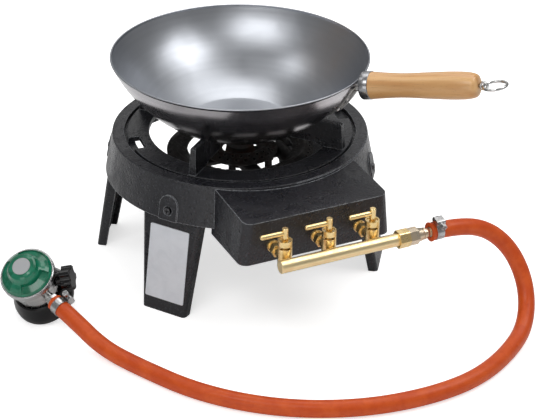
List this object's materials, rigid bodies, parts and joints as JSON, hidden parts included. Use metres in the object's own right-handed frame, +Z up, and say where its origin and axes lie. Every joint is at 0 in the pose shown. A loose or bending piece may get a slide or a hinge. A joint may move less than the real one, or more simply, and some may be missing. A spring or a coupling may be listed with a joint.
{
  "type": "gas wok burner",
  "caption": "Free-standing cast gas burner with concentric rings, lever taps, splayed legs and pan support, with its wok, orange gas hose and regulator.",
  "frame": {"origin": "on the floor, under the middle of the outline of stove and wok seen from above, hose and regulator left out", "axes": "+Z up, -Y towards the valve box and taps, +X to the right seen from the taps"},
  "size_m": [0.5656, 0.563, 0.2994],
  "materials": {
    "cast_body": "rough casting, satin black paint",
    "burner_iron": "bare casting, heat stained",
    "cast_leg": "rough casting, satin black paint",
    "dark_steel": "satin black paint",
    "bright_screw": "zinc plate",
    "label": "blank film label",
    "wok_steel": "spun and brushed",
    "ferrule": "polished",
    "handle_wood": "clear lacquer",
    "bright_wire": "polished",
    "brass": "turned",
    "plated": "bright plate",
    "hose_rubber": "smooth, slight sheen",
    "black_plastic": "moulded",
    "zinc": "die cast",
    "bright_rim": "rolled edge",
    "seal_rubber": "moulded",
    "green_paint": "gloss",
    "silver_disc": "blank disc"
  },
  "bodies": {
    "stove": {"body_casting": "cast_body", "outer_ring_burner": "burner_iron", "inner_ring_burner": "burner_iron", "centre_burner": "burner_iron", "carrier_bars": "dark_steel", "carrier_screws": "bright_screw", "leg_screws": "bright_screw", "leg_nuts": "bright_screw", "leg_label": "label", "tap_washers": "brass", "tap_springs": "bright_screw", "tap_locknuts": "brass", "tap_jets": "brass", "manifold_tube": "brass", "manifold_end_cap": "brass", "manifold_nut": "brass", "manifold_adaptor": "brass", "hose_barb": "brass", "hose": "hose_rubber", "hose_clamp_bands": "plated", "hose_clamp_housings": "plated", "hose_clamp_screws": "bright_screw", "regulator_body": "zinc", "regulator_outlet": "brass", "regulator_rim": "bright_rim", "regulator_diaphragm": "seal_rubber", "regulator_cap": "green_paint", "regulator_disc": "silver_disc", "regulator_spring": "bright_screw", "regulator_seal": "seal_rubber", "leg_front_left": "cast_leg", "leg_front_right": "cast_leg", "leg_back_left": "cast_leg", "leg_back_right": "cast_leg", "tap_body_left": "brass", "tap_body_middle": "brass", "tap_body_right": "brass"},
    "support": {"pan_support": "cast_body"},
    "wok": {"wok_bowl": "wok_steel", "wok_bracket": "wok_steel", "bracket_rivets": "bright_screw", "handle_tang": "bright_screw", "handle_ferrule": "ferrule", "handle_grip": "handle_wood", "handle_eye": "bright_wire"},
    "ring": {"hanging_ring": "bright_wire"},
    "skirt": {"regulator_skirt": "black_plastic"},
    "knob": {"regulator_knob": "black_plastic", "regulator_spindle": "black_plastic"},
    "tap_left": {"tap_spindle_left": "brass", "tap_lever_left": "brass"},
    "tap_middle": {"tap_spindle_middle": "brass", "tap_lever_middle": "brass"},
    "tap_right": {"tap_spindle_right": "brass", "tap_lever_right": "brass"}
  },
  "joints": [
    {"name": "tap_left_turn", "type": "hinge", "parent": "stove", "child": "tap_left", "pos_m": [-0.0791, -0.1896, 0.15], "axis": [0, 0, 1], "range_deg": [0, 90]},
    {"name": "tap_middle_turn", "type": "hinge", "parent": "stove", "child": "tap_middle", "pos_m": [-0.0252, -0.1896, 0.15], "axis": [0, 0, 1], "range_deg": [0, 90]},
    {"name": "tap_right_turn", "type": "hinge", "parent": "stove", "child": "tap_right", "pos_m": [0.0287, -0.1896, 0.15], "axis": [0, 0, 1], "range_deg": [0, 90]},
    {"name": "pan_support_lift", "type": "slide", "parent": "stove", "child": "support", "axis": [0, 0, 1], "range_m": [0, 0.08]},
    {"name": "wok_lift", "type": "slide", "parent": "support", "child": "wok", "axis": [0, 0, 1], "range_m": [0, 0.15]},
    {"name": "hanging_ring_swing", "type": "hinge", "parent": "wok", "child": "ring", "pos_m": [0.16376, -0.18664, 0.28815], "axis": [-0.788, -0.6157, 0], "range_deg": [-60, 90]},
    {"name": "regulator_skirt_slide", "type": "slide", "parent": "stove", "child": "skirt", "axis": [-0.428, -0.3553, 0.831], "range_m": [0, 0.0035]},
    {"name": "regulator_knob_turn", "type": "hinge", "parent": "stove", "child": "knob", "pos_m": [-0.27504, -0.02361, 0.05919], "axis": [0.8443, -0.4853, 0.2273], "range_deg": [0, 90]}
  ]
}
